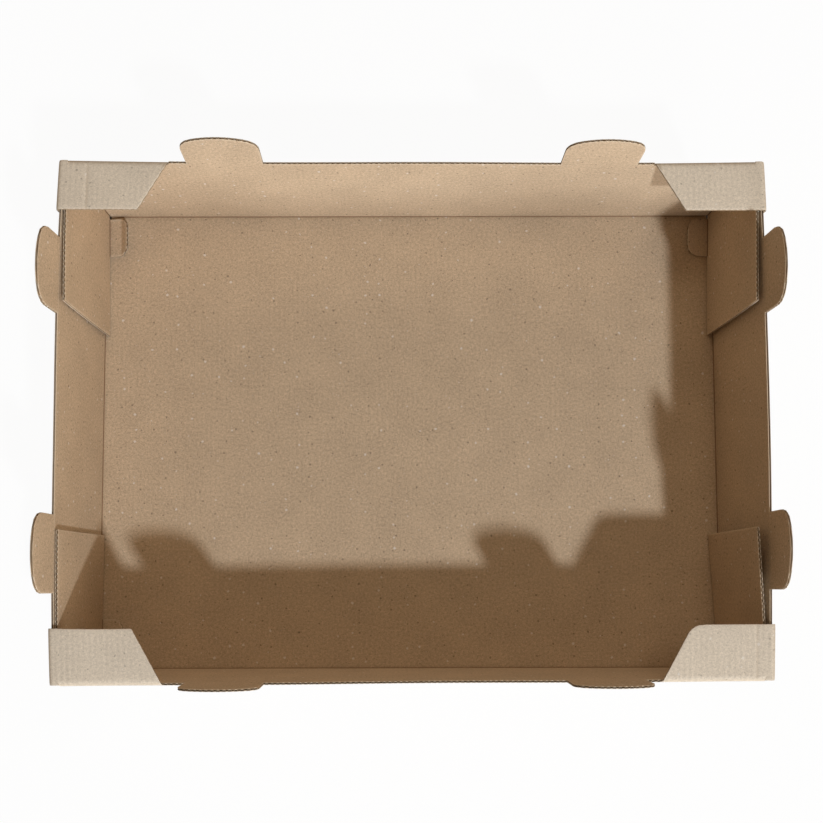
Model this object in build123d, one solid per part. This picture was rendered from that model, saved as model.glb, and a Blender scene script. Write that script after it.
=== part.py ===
from build123d import *
import os
from math import cos, radians, sin, sqrt, tan

# An open stacking tray folded from one sheet of thin corrugated board.
# Sizes are in millimetres and degrees. The origin is on the table under the middle of the floor,
# with +X along the long side, +Y along the short side and +Z up.

# The whole tray
length = 400.0             # outside, over the glued ends at both short walls
width = 296.0              # outside, over the two long walls
height = 80.0              # from the table to the top of the corner ledges

# The board and its folds
board = 1.6                # thickness of the board
fold_inside = 0.5          # inner radius of every fold
corner_relief = 1.0        # free room round the foot of each corner, where four folds meet

# The papers inside the board, seen as a row of open cells where it is cut across the flutes
liner = 0.27               # thickness of each of the two flat papers
flute_paper = 0.17         # thickness of the fluted paper between them
flute_pitch = 3.08         # from one wave to the next
cell_depth = 3.0           # how far the open cells are cut in from an edge
cell_margin = 1.2          # from the outermost cell to the end of its edge

# The rims
rim_drop = 0.6             # the long walls' rims lie this much below the ledges' top
ledge_gap = 0.4            # between the underside of a ledge and what it covers
short_wall_end_gap = 0.5   # the short walls stop this much short of the long walls' outer faces

# The corner ledges, hinged on the long walls and folded inwards
ledge_base = 62.5          # along the long wall's rim, from the tray's outer end
ledge_inner = 45.5         # along the free inner edge
back_ledge_depth = 29.0    # from the long wall's outer face to the free inner edge
front_ledge_depth = 31.5
ledge_cut_radius = 0.8     # at a ledge's inner corner, as cut
ledge_worn_radius = 10.0   # at the one inner corner that is rounded off
ledge_side_gap = 0.5       # the ledge's outer end stops this much short of the long wall's face

# The glued ends of the ledges, folded down outside the short walls
glue_tab_height = 35.0     # from the ledge's top to the lower edge
glue_tab_taper = 3.0       # each side draws in by this much on the way down

# The corner flaps, hinged on the long walls' ends and lying inside the short walls
back_flap_length = 81.0    # from the long wall's outer face to the free end
front_flap_length = 86.0
flap_gap = 0.4             # between a flap and the short wall, at the fold
flap_foot_gap = 0.7        # between a flap's lower edge and the floor

# The tongues at the flaps' feet, folded inwards over the floor
tongue_length = 25.0       # along the flap
tongue_depth = 13.0        # from the flap's inner face
tongue_radius = 7.0        # of a tongue's two free corners
tongue_start = 2.5         # from the long wall's inner face
tongue_gap = 0.3           # between a tongue and the floor

# The stacking tabs, two on each wall, standing up from the rim
tab_width = 43.5
tab_height = 27.0          # above the wall's own rim
tab_crown = 5.5            # how far the middle of a tab's top stands above its shoulders
tab_shoulder_radius = 10.0
tab_crown_end = 6.0        # the open cells of a crown stop this much short of the tab's sides
tab_bend_radius = 30.0     # radius of the bend where a tab leaves its wall
long_tab_pitch = 214.0     # between the middles of the two tabs on a long wall
short_tab_pitch = 157.0    # between the middles of the two tabs on a short wall
short_tab_shift = 3.0      # both tabs of a short wall stand this much nearer the back

# How each corner stands: its side along X and along Y, the length of its flap, the depth of its
# ledge, how far its flap swings inwards and how far its tongue rises, both in degrees, and the
# radius of its ledge's inner corner
corners = [
    (-1, 1, back_flap_length, back_ledge_depth, 0.6, 7.0, ledge_cut_radius),
    (1, 1, back_flap_length, back_ledge_depth, 1.6, 0.5, ledge_cut_radius),
    (-1, -1, front_flap_length, front_ledge_depth, 0.2, 3.0, ledge_cut_radius),
    (1, -1, front_flap_length, front_ledge_depth, 3.2, 1.0, ledge_worn_radius),
]

# How each tab stands: its side along X and along Y, its outward lean in degrees and, for the long
# walls, how far it is moved along X from its even place
long_wall_tabs = [(-1, 1, 3.0, 0.5), (1, 1, 1.0, 0.5), (-1, -1, 3.0, 3.0), (1, -1, 1.0, 0.0)]
short_wall_tabs = [(-1, 1, 9.0), (1, 1, 8.5), (-1, -1, 8.0), (1, -1, 3.5)]

# Worked out from the sizes above
half_length = length / 2
half_width = width / 2
fold_middle = fold_inside + board / 2
fold_outside = fold_inside + board
short_outer = half_length - board
short_middle = short_outer - board / 2
flap_middle = short_outer - board - flap_gap - board / 2
long_end = flap_middle - fold_middle
long_middle = half_width - board / 2
ledge_middle = height - board / 2
fold_top = height - fold_outside
long_rim = height - rim_drop
short_rim = height - board - ledge_gap
floor_middle = board / 2
flap_foot = board + flap_foot_gap
tongue_middle = board + tongue_gap + board / 2
rim_half = half_length - ledge_base
core_half = board / 2 - liner
cell_half = flute_pitch / 2 - flute_paper


def bent_board(points, plane, depth, radius=fold_middle):
    """Board whose middle line follows the points, with a fold at each corner."""
    path = FilletPolyline(*points, radius=radius)
    return extrude(plane * trace(path, line_width=board), amount=depth, dir=plane.z_dir)


def block(low, high):
    """A box between its lowest and its highest corner."""
    size = [h - l for l, h in zip(low, high)]
    middle = [(l + h) / 2 for l, h in zip(low, high)]
    return Pos(*middle) * Box(*size)


def flute_cell(x, side):
    """One open cell through the XY plane, with its base on the liner at one side of the X axis."""
    base, tip = side * core_half, side * (flute_paper - core_half)
    shape = make_face(Polyline((x - cell_half, base), (x + cell_half, base), (x, tip), close=True))
    return extrude(shape, amount=cell_depth, both=True)


def flute_cells(place, low, high):
    """Open cells along the X axis of a place whose Y axis goes through the board."""
    room = high - low - 2 * (cell_margin + cell_half)
    count = int(2 * room / flute_pitch) + 1
    first = (low + high) / 2 - (count - 1) * flute_pitch / 4
    return [place * flute_cell(first + k * flute_pitch / 2, 1 - 2 * (k % 2)) for k in range(count)]


def long_tab_middle(row):
    """Where the middle of a long wall's tab stands along X."""
    return row[0] * long_tab_pitch / 2 + row[3]


def floor_and_long_walls():
    """The floor with the two long walls folded up, and their rims between the ledges."""
    points = [
        (-long_middle, fold_top),
        (-long_middle, floor_middle),
        (long_middle, floor_middle),
        (long_middle, fold_top),
    ]
    part = bent_board(points, Plane.YZ.offset(-long_end), 2 * long_end)
    for side in (-1, 1):
        inner, outer = sorted((side * (half_width - board), side * half_width))
        rim = block((-rim_half, inner, fold_top - board), (rim_half, outer, long_rim))
        place = Pos(0, side * long_middle, long_rim)
        left, right = [long_tab_middle(row) for row in long_wall_tabs if row[1] == side]
        rim -= flute_cells(place, -rim_half, left - tab_width / 2)
        rim -= flute_cells(place, left + tab_width / 2, right - tab_width / 2)
        rim -= flute_cells(place, right + tab_width / 2, rim_half)
        part += rim
    return part


def floor_and_short_walls():
    """The floor again with the two short walls, narrower at the foot to clear the corners."""
    points = [
        (-short_middle, short_rim),
        (-short_middle, floor_middle),
        (short_middle, floor_middle),
        (short_middle, short_rim),
    ]
    fold_half = half_width - fold_outside - corner_relief
    part = bent_board(points, Plane.XZ.offset(-fold_half), 2 * fold_half)
    wall_half = half_width - short_wall_end_gap
    for side in (-1, 1):
        inner, outer = sorted((side * (short_outer - board), side * short_outer))
        low = (inner, -wall_half, fold_outside + corner_relief)
        part += block(low, (outer, wall_half, short_rim))
    return part


def stacking_tab(lean):
    """One tab with its root on the X axis, leaning towards +Y from the plane of its wall."""
    root = 2 * board
    bent = bent_board(
        [(0, -root), (0, 0), (tab_height * tan(radians(lean)), tab_height)],
        Plane.YZ.offset(-tab_width / 2),
        tab_width,
        tab_bend_radius,
    )
    shoulder = tab_height - tab_crown
    half = tab_width / 2
    outline = Polyline((-half, shoulder), (-half, -root), (half, -root), (half, shoulder))
    outline += ThreePointArc((half, shoulder), (0, tab_height), (-half, shoulder))
    face = make_face(outline)
    face = fillet(face.vertices().group_by(Axis.Y)[-1], tab_shoulder_radius)
    return bent & extrude(Plane.XZ * face, amount=tab_height, both=True)


def tab_top(x):
    """Height of a tab's outline above its root: the crown's arc, or a shoulder's arc beside it."""
    half = tab_width / 2
    crown_radius = (half**2 + tab_crown**2) / (2 * tab_crown)
    inner_radius = crown_radius - tab_shoulder_radius
    shoulder_x = half - tab_shoulder_radius
    if abs(x) * inner_radius < shoulder_x * crown_radius:
        return tab_height - crown_radius + sqrt(crown_radius**2 - x**2)
    shoulder_z = tab_height - crown_radius + sqrt(inner_radius**2 - shoulder_x**2)
    return shoulder_z + sqrt(tab_shoulder_radius**2 - (abs(x) - shoulder_x)**2)


def crown_cells(lean):
    """The open cells along the crowned top of a tab whose flutes run up and down."""
    reach = tab_width / 2 - tab_crown_end
    cells = []
    for cell in flute_cells(Pos(0, 0, 0), -reach, reach):
        top = tab_top(cell.center().X)
        cells.append(Pos(0, top * tan(radians(lean)), top) * Rot(X=-lean) * cell)
    return cells


def all_stacking_tabs():
    """The eight tabs in their places on the rims."""
    part = Part()
    for row in long_wall_tabs:
        y_side, lean = row[1:3]
        place = Pos(long_tab_middle(row), y_side * long_middle, long_rim)
        tab = stacking_tab(lean) - crown_cells(lean)
        part += place * Rot(Z=90 - 90 * y_side) * tab
    for x_side, y_side, lean in short_wall_tabs:
        place = Pos(x_side * short_middle, y_side * short_tab_pitch / 2 + short_tab_shift, short_rim)
        part += place * Rot(Z=-90 * x_side) * stacking_tab(lean)
    return part


def corner_flap(flap_length, hidden, swing, rise):
    """The flap of the +X +Y corner, swung inwards, with its tongue over the floor.

    Its top edge has open cells where no ledge hides it.
    """
    corner_x = long_end + fold_middle * tan(radians(45 + swing / 2))
    reach = flap_length - board / 2
    free_end = (corner_x - reach * sin(radians(swing)), long_middle - reach * cos(radians(swing)))
    points = [(long_end - board, long_middle), (corner_x, long_middle), free_end]
    flap = bent_board(points, Plane.XY.offset(flap_foot), short_rim - flap_foot)

    # The tongue is made on a flap that hangs along -Y from the origin, and then swung with it
    first = -board / 2 - tongue_start
    slot_top = tongue_middle + fold_middle
    slot = block((-board, first - tongue_length, 0), (board, first, slot_top))
    run = board / 2 + tongue_depth
    strip = bent_board(
        [(0, slot_top + board), (0, tongue_middle), (-run, tongue_middle + run * tan(radians(rise)))],
        Plane.XZ.offset(-first),
        tongue_length,
    )
    middle = first - tongue_length / 2
    plan = Pos(-board / 2, middle) * RectangleRounded(2 * tongue_depth, tongue_length, tongue_radius)
    plan += Pos(0, middle) * Rectangle(2 * board, tongue_length)
    tongue = strip & extrude(plan, amount=2 * tongue_depth)
    place = Pos(corner_x, long_middle) * Rot(Z=-swing)
    cells = flute_cells(place * Pos(0, 0, short_rim) * Rot(Z=90), -reach, board / 2 - hidden)
    return flap - place * slot - cells + place * tongue


def corner_ledge(ledge_depth, radius):
    """The ledge of the +X +Y corner with its glued end outside the short wall."""
    ledge_edge = half_width - ledge_depth
    side = half_width - ledge_side_gap
    base = half_length - ledge_base
    rim_fold = [(long_middle, fold_top - board), (long_middle, ledge_middle), (ledge_edge, ledge_middle)]
    part = bent_board(rim_fold, Plane.YZ.offset(base), long_end - base)
    glue_middle = half_length - board / 2
    end_fold = [(long_end, ledge_middle), (glue_middle, ledge_middle), (glue_middle, fold_top - board)]
    part += bent_board(end_fold, Plane.XZ.offset(-side), side - ledge_edge)

    inner = half_length - ledge_inner
    outline = make_face(Polyline(
        (base, half_width),
        (half_length, half_width),
        (half_length, ledge_edge),
        (inner, ledge_edge),
        close=True,
    ))
    inner_corner = outline.vertices().sort_by_distance((inner, ledge_edge))[0]
    outline = fillet(inner_corner, radius)
    part &= extrude(outline, amount=height)
    part -= flute_cells(Pos(0, ledge_edge, ledge_middle) * Rot(X=90), inner + radius, long_end)

    low = height - glue_tab_height
    glue_tab = make_face(Polyline(
        (ledge_edge, fold_top),
        (side, fold_top),
        (side - glue_tab_taper, low),
        (ledge_edge + glue_tab_taper, low),
        close=True,
    ))
    return part + extrude(Plane.YZ.offset(short_outer) * glue_tab, amount=board, dir=(1, 0, 0))


def corner(x_side, y_side, flap_length, ledge_depth, swing, rise, radius):
    """A flap and a ledge, made for the +X +Y corner and mirrored to their own."""
    part = corner_flap(flap_length, ledge_depth, swing, rise) + corner_ledge(ledge_depth, radius)
    if x_side < 0:
        part = mirror(part, about=Plane.YZ)
    if y_side < 0:
        part = mirror(part, about=Plane.XZ)
    return part


def build_tray():
    """The whole tray, joined along its folds and at its four glued ends."""
    part = floor_and_long_walls() + floor_and_short_walls() + all_stacking_tabs()
    for row in corners:
        part += corner(*row)
    return part


tray = build_tray()
os.makedirs("parts", exist_ok=True)
export_step(tray, "parts/tray.step")
print("solids", len(tray.solids()), "volume", round(tray.volume), "mm3", "valid", tray.is_valid)
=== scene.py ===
"""The looks of an open stacking tray, folded from one die-cut sheet of thin corrugated board.

The board is made as the mill makes it: an outer liner, a fluted paper and an inner liner, each a
closed skin with its own thickness. Every panel of the tray is a grid over the flat cut sheet. The
coordinate called across counts along the machine's wave, so the flutes run along the other one,
called along. A section is the bent middle line of the board, and it carries a panel to its
folded place. Lengths are in metres and angles in degrees unless a name says otherwise.
"""

from __future__ import annotations

import logging
import math
from collections.abc import Callable, Iterator
from dataclasses import dataclass, field
from enum import Enum

import bmesh
import bpy
import numpy as np
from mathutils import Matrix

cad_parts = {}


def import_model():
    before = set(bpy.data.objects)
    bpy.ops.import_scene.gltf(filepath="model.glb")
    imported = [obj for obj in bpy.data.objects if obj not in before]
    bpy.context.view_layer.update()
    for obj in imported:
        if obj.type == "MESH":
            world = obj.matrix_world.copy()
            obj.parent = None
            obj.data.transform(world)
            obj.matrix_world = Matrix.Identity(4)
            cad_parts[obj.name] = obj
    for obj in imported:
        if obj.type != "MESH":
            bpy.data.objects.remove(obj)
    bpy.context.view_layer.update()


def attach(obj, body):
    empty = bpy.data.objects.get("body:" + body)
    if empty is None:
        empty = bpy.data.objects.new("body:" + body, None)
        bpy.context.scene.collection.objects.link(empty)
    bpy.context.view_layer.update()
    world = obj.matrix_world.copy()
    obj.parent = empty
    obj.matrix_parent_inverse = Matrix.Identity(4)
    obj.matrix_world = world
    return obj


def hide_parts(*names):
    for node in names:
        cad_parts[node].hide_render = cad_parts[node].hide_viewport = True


LOG = logging.getLogger("stacking_tray")
MM = 0.001
CAD_NODE = "tray"
BODY = "root"
SHEET_MAP = "cut_sheet"
EDGE_WEAR, FOLD_CREASE_AND_SHADE = "edge_wear", "fold_wear"

HAIR = 0.01 * MM  # what a tab's top stays short of its full height, so that its last row has a width
FAR = 1.0  # the distance to a cut edge where a panel has none
SAME_PLACE = 1e-9  # rows closer than this share their points
FOLD_LINES = np.linspace(-2.6, 2.6, 15) * MM  # grid lines round a fold
END_LINES = np.array([0.15, 0.4, 0.9, 1.8]) * MM  # grid lines beside an end
CUT_LINES = np.array([1.5, 0.9, 0.45, 0.18, 0.0]) * MM  # grid lines before a clipped row's cut edge
LEAST_GAP = 0.05 * MM  # between an end and the next grid line
LINE_DIGITS = 6  # grid lines are rounded to a thousandth of a millimetre
SHARP_ANGLE = 40.0

Socket = bpy.types.NodeSocket
Tree = bpy.types.NodeTree
Material = bpy.types.Material
Grid = np.ndarray
Pair = tuple[float, float]
Triple = tuple[float, float, float]
Parts = list[Pair]
Placing = Callable[[Grid, Grid, Grid], Grid]
Closeness = Callable[[Grid, Grid, float], Grid]
Edges = Callable[[Grid], tuple[Grid, Grid]]


class Paper(Enum):
    """The three papers of the board, by the material slot that each one uses."""

    OUTER_LINER = 0
    FLUTING = 1
    INNER_LINER = 2


class Row(Enum):
    """How the stations along a flute follow a panel's cut outline."""

    STRETCHED = "stretched"
    CLIPPED = "clipped"


@dataclass(frozen=True)
class Board:
    """The sandwich of papers and how it gives way at folds and cut edges."""

    thickness: float = 1.6 * MM
    liner: float = 0.27 * MM
    fluting: float = 0.17 * MM
    pitch: float = 3.08 * MM
    fold_inside: float = 0.5 * MM
    fold_crush: float = 0.42
    fold_crush_width: float = 1.3 * MM
    edge_crush: float = 0.22
    edge_crush_width: float = 0.7 * MM
    edge_wear_width: float = 1.6 * MM
    # width of the dark line in the folds: a crease, partly painted shade
    fold_line_width: float = 0.75 * MM

    @property
    def fold_middle(self) -> float:
        """Radius of the board's middle line in a fold."""
        return self.fold_inside + self.thickness / 2

    @property
    def fold_outside(self) -> float:
        """Outer radius of a fold."""
        return self.fold_inside + self.thickness

    @property
    def wave_height(self) -> float:
        """Half the height of the flutes, from the middle of the board to the middle of a crest."""
        return self.thickness / 2 - self.liner - self.fluting / 2

    def fold(self, turn: float) -> Pair:
        """A fold as a part of a section: the length of its middle line, and its turn."""
        return self.fold_middle * math.radians(turn), turn


@dataclass(frozen=True)
class TraySizes:
    """The tray's own sizes, the same as those of its solid, how a tongue curls, and how far its worn edge
    reaches, which on a curled tongue also paints a highlight.
    """

    length: float = 400.0 * MM
    width: float = 296.0 * MM
    height: float = 80.0 * MM
    corner_relief: float = 1.0 * MM
    rim_drop: float = 0.6 * MM
    ledge_gap: float = 0.4 * MM
    short_wall_end_gap: float = 0.5 * MM
    ledge_base: float = 62.5 * MM
    ledge_inner: float = 45.5 * MM
    ledge_side_gap: float = 0.5 * MM
    glue_tab_height: float = 35.0 * MM
    glue_tab_taper: float = 3.0 * MM
    flap_gap: float = 0.4 * MM
    flap_foot_gap: float = 0.7 * MM
    tongue_length: float = 25.0 * MM
    tongue_depth: float = 13.0 * MM
    tongue_radius: float = 7.0 * MM
    tongue_start: float = 2.5 * MM
    tongue_gap: float = 0.3 * MM
    tongue_flat_share: float = 0.5
    tongue_curl_boards: float = 1.5
    # how much wider a curled tongue's crushed, scuffed edge is; its pale band partly paints the highlight of
    # the curled edge
    tongue_wear: float = 2.2
    tab_width: float = 43.5 * MM
    tab_height: float = 27.0 * MM
    tab_crown: float = 5.5 * MM
    tab_shoulder_radius: float = 10.0 * MM
    tab_bend_radius: float = 30.0 * MM
    long_tab_pitch: float = 214.0 * MM
    short_tab_pitch: float = 157.0 * MM
    short_tab_shift: float = 3.0 * MM
    board: Board = Board()

    @property
    def long_middle(self) -> float:
        """Distance of a long wall's middle line from the tray's middle."""
        return self.width / 2 - self.board.thickness / 2

    @property
    def short_outer(self) -> float:
        """Distance of a short wall's outer face from the tray's middle."""
        return self.length / 2 - self.board.thickness

    @property
    def flap_middle(self) -> float:
        """Distance of a straight corner flap's middle line from the tray's middle."""
        return self.short_outer - 1.5 * self.board.thickness - self.flap_gap

    @property
    def long_end(self) -> float:
        """Where a long wall ends and its corner fold begins."""
        return self.flap_middle - self.board.fold_middle

    @property
    def fold_top(self) -> float:
        """Height at which the fold of a ledge begins."""
        return self.height - self.board.fold_outside

    @property
    def rim_rise(self) -> float:
        """Length of a long wall's section from where a ledge's fold begins up to the wall's own rim."""
        return self.height - self.rim_drop - self.fold_top

    @property
    def short_rim(self) -> float:
        """Height of a short wall's rim, under the ledges."""
        return self.height - self.board.thickness - self.ledge_gap

    @property
    def ledge_start(self) -> float:
        """X at which a ledge begins on its long wall."""
        return self.length / 2 - self.ledge_base

    @property
    def ledge_corner(self) -> float:
        """X at which a ledge's slanted end meets its inner edge."""
        return self.length / 2 - self.ledge_inner

    @property
    def tongue_middle(self) -> float:
        """Height of a flat tongue's middle line."""
        return 1.5 * self.board.thickness + self.tongue_gap

    @property
    def tongue_top(self) -> float:
        """Height at which a tongue's fold begins on its flap."""
        return self.tongue_middle + self.board.fold_middle

    @property
    def long_wall(self) -> Parts:
        """Half the floor, the foot fold and a long wall up to a ledge's fold, as lengths and turns."""
        rise = self.fold_top - self.board.thickness / 2 - self.board.fold_middle
        return [(self.long_middle - self.board.fold_middle, 0.0), self.board.fold(90.0), (rise, 0.0)]


@dataclass(frozen=True)
class Corner:
    """How one corner of the tray stands, as the photograph shows it."""

    name: str
    side_x: float
    side_y: float
    flap_length: float
    ledge_depth: float
    swing: float
    tongue_rise: float
    ledge_radius: float = 0.8 * MM
    ledge_tilt: float = 0.0
    ledge_bow: float = 0.0
    flap_bow: float = 0.0
    press_line: float = 0.0
    press_share: float = 0.0
    tongue_curl: float = 0.0
    tongue_shift: float = 0.0
    rim_x: float = 0.0
    rim_y: float = 0.0


CORNERS = (
    Corner("back_left", -1, 1, 81 * MM, 29 * MM, 1.4, 7.0, ledge_tilt=-0.5, flap_bow=0.2 * MM,
           press_line=17 * MM, press_share=0.65, tongue_curl=38.0, rim_x=-0.8 * MM, rim_y=0.4 * MM),
    Corner("back_right", 1, 1, 81 * MM, 29 * MM, 1.6, 0.5, ledge_tilt=-0.4, flap_bow=-0.3 * MM,
           rim_x=1.84 * MM, rim_y=-1.35 * MM),
    Corner("front_left", -1, -1, 86 * MM, 31.5 * MM, 0.2, 3.0, ledge_tilt=-0.8, ledge_bow=0.5 * MM,
           tongue_shift=3.6 * MM, rim_x=0.25 * MM, rim_y=-1.15 * MM),
    Corner("front_right", 1, -1, 86 * MM, 31.5 * MM, 3.2, 1.0, ledge_radius=10 * MM, ledge_tilt=-0.6,
           press_line=10.6 * MM, press_share=0.55, rim_x=-0.35 * MM, rim_y=0.85 * MM),
)


@dataclass(frozen=True)
class StackingTab:
    """Where one stacking tab stands, how far it leans out in degrees, and its own shift along X."""

    wall: str
    end: str
    side_x: float
    side_y: float
    lean: float
    shift: float = 0.0


LONG_WALL_TABS = (
    StackingTab("back", "left", -1, 1, 2.3, 1.3 * MM),
    StackingTab("back", "right", 1, 1, 0.9, -0.9 * MM),
    StackingTab("front", "left", -1, -1, 1.3, 3.6 * MM),
    StackingTab("front", "right", 1, -1, 1.0),
)
SHORT_WALL_TABS = (
    StackingTab("left", "back", -1, 1, 3.0),
    StackingTab("left", "front", -1, -1, 2.3),
    StackingTab("right", "back", 1, 1, 1.8),
    StackingTab("right", "front", 1, -1, 0.0),
)


def bell(distance: Grid, width: float) -> Grid:
    """A bell curve over distances, 1 at none and 1/e at the width."""
    return np.exp(-((distance / width) ** 2))


class Section:
    """The bent middle line of the board, as seen along a fold.

    The heading turns evenly through each bend and stays put along each run. A point of the line
    is the running sum of small steps along the heading. The inner face is on the left.
    """

    STEP = 0.02 * MM
    FOLD_TURN = 45.0
    BEND_TURN = 20.0

    def __init__(self, start: Pair, heading: float, parts: Parts) -> None:
        """Works the line out.

        Args:
            start: the first point, as two lengths.
            heading: the first heading in degrees, counted anticlockwise from the first axis.
            parts: runs and bends in order, each as its length along the line and its turn in degrees.
        """
        lengths, turns = np.array(parts).T
        knots = np.concatenate([[0.0], np.cumsum(lengths)])
        headings = math.radians(heading) + np.concatenate([[0.0], np.cumsum(np.radians(turns))])
        places = knots[:-1] + lengths / 2
        self.length = float(knots[-1])
        self.fold_places = tuple(places[np.abs(turns) > self.FOLD_TURN])
        self.bend_places = tuple(places[np.abs(turns) > self.BEND_TURN])
        self._steps = np.linspace(0.0, self.length, int(self.length / self.STEP) + 2)
        self._angles = np.interp(self._steps, knots, headings)
        middles = (self._angles[:-1] + self._angles[1:]) / 2
        gaps = np.diff(self._steps)
        self._u = start[0] + np.concatenate([[0.0], np.cumsum(np.cos(middles) * gaps)])
        self._v = start[1] + np.concatenate([[0.0], np.cumsum(np.sin(middles) * gaps)])

    def at(self, distance: Grid) -> tuple[Grid, Grid, Grid, Grid]:
        """Points and inward normals of the line.

        Args:
            distance: lengths along the line.

        Returns:
            The two coordinates of each point and the two of its normal.
        """
        heading = np.interp(distance, self._steps, self._angles)
        u = np.interp(distance, self._steps, self._u)
        v = np.interp(distance, self._steps, self._v)
        return u, v, -np.sin(heading), np.cos(heading)

    def off(self, distance: Grid, depth: Grid) -> tuple[Grid, Grid]:
        """The two coordinates of points at depths inwards from the line."""
        u, v, normal_u, normal_v = self.at(distance)
        return u + depth * normal_u, v + depth * normal_v

    def where_u(self, u: Grid, first: float) -> Grid:
        """Length along the line, past a first one, at which its first coordinate has a value.

        Args:
            u: the values looked for, all passed in one direction.
            first: the length from which the line is searched.

        Returns:
            The lengths along the line.
        """
        keep = self._steps >= first
        values, steps = self._u[keep], self._steps[keep]
        order = np.argsort(values)
        return np.interp(u, values[order], steps[order])

    def folds(self, distance: Grid, width: float) -> Grid:
        """How near each length is to one of the section's folds, from 0 to 1."""
        return np.max([bell(distance - place, width) for place in self.fold_places], axis=0)


def stations(low: float, high: float, step: float, folds: tuple[float, ...]) -> Grid:
    """Places for the lines of a grid, closer together at folds and at both ends.

    Args:
        low: the first place.
        high: the last place.
        step: about the widest gap between two places.
        folds: places of folds, round which lines are added.

    Returns:
        The places in order.
    """
    even = np.linspace(low, high, max(2, int(round((high - low) / step)) + 1))
    places = [even, low + END_LINES, high - END_LINES, *(fold + FOLD_LINES for fold in folds)]
    merged = np.unique(np.round(np.concatenate(places), LINE_DIGITS))
    merged = merged[(merged > low + LEAST_GAP) & (merged < high - LEAST_GAP)]
    return np.concatenate([[low], merged, [high]])


@dataclass
class Panel:
    """One cut shape of the sheet: a grid over it, and how it is carried to its place.

    Cut says which sides are cut edges: the first and last across, and the first and last along.
    """

    across: Pair
    along: Edges
    place: Placing
    fold_near: Closeness
    across_folds: tuple[float, ...] = ()
    along_folds: tuple[float, ...] = ()
    rows: Row = Row.STRETCHED
    cut: tuple[bool, bool, bool, bool] = (False, False, False, False)
    signs: Pair = (1.0, 1.0)
    wear: float = 1.0

    def grid(self, columns: Grid, step: float) -> tuple[Grid, Grid]:
        """The grid over the flat panel.

        A stretched row is a fixed share of the way from one cut edge to the other. A clipped row
        is a fixed length, held back where the cut edge comes first, with a last few rows that
        keep a fixed distance from that edge.

        Args:
            columns: places across the flutes.
            step: about the widest gap between rows.

        Returns:
            Two arrays of flat coordinates, one row of each for every column.
        """
        low, high = self.along(columns)
        longest = float(np.max(high - low))
        if self.rows is Row.STRETCHED:
            folds = tuple(fold - float(low[0]) for fold in self.along_folds)
            share = stations(0.0, longest, step, folds) / longest
            along = low[:, None] + (high - low)[:, None] * share
        else:
            start = float(np.min(low))
            fixed = stations(start, start + longest, step, self.along_folds)
            tail = np.maximum(high[:, None] - CUT_LINES, low[:, None])
            along = np.concatenate([np.minimum(fixed, tail[:, :1]), tail[:, 1:]], axis=1)
        return np.repeat(columns[:, None], along.shape[1], axis=1), along

    def edge_distance(self, across: Grid, along: Grid) -> Grid:
        """Distance of each point of the grid to the nearest cut edge.

        Args:
            across: flat coordinates across the flutes.
            along: flat coordinates along the flutes.

        Returns:
            The distances.
        """
        sides = (across - self.across[0], self.across[1] - across)
        ends = (along - along[:, :1], along[:, -1:] - along)
        apart = [gap for is_cut, gap in zip(self.cut, sides + ends) if is_cut]
        return np.maximum(np.min([np.full_like(across, FAR), *apart], axis=0), 0.0)


@dataclass
class MeshParts:
    """Vertices, faces and surface values, gathered until they become one mesh."""

    points: list[Grid] = field(default_factory=list)
    values: list[Grid] = field(default_factory=list)
    faces: list[Grid] = field(default_factory=list)
    papers: list[Grid] = field(default_factory=list)
    count: int = 0

    def add_skin(self, lower: Grid, upper: Grid, same: Grid, values: Grid, paper: Paper) -> None:
        """Adds a closed skin between two grids of points that lie over each other.

        Args:
            lower: points of the first face, columns by rows by three.
            upper: points of the second face.
            same: for each grid point, the number of the point that stands for it.
            values: the two flat coordinates, edge wear, and nearness to folds (for their crease and painted
                shade) of each grid point.
            paper: which paper the skin is.
        """
        first = same + self.count
        second = first + same.size
        quads = [
            np.stack([a[:-1, :-1], a[1:, :-1], a[1:, 1:], a[:-1, 1:]], axis=-1).reshape(-1, 4)[:, ::turn]
            for a, turn in ((first, 1), (second, -1))
        ]
        for side, turn in ((np.s_[:, 0], 1), (np.s_[:, -1], -1), (np.s_[0], -1), (np.s_[-1], 1)):
            a, b = first[side], second[side]
            quads.append(np.stack([a[:-1], a[1:], b[1:], b[:-1]], axis=-1)[:, ::turn])
        self.faces += quads
        self.papers.append(np.full(sum(len(part) for part in quads), paper.value))
        self.points += [lower.reshape(-1, 3), upper.reshape(-1, 3)]
        self.values += [values.reshape(-1, values.shape[-1])] * 2
        self.count += 2 * same.size


def merged_faces(quads: Grid) -> tuple[Grid, Grid, Grid]:
    """Quads whose neighbouring corners may be the same point, as loops of three or four corners.

    Args:
        quads: corner numbers, four to a row.

    Returns:
        All corner numbers in one row, the number of corners of each kept face, and which quads
        were kept.
    """
    distinct = quads != np.roll(quads, -1, axis=1)
    sizes = distinct.sum(axis=1)
    flattened = (quads[:, 0] == quads[:, 2]) | (quads[:, 1] == quads[:, 3])
    keep = (sizes >= 3) & ~flattened
    return quads[keep][distinct[keep]], sizes[keep], keep


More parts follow.
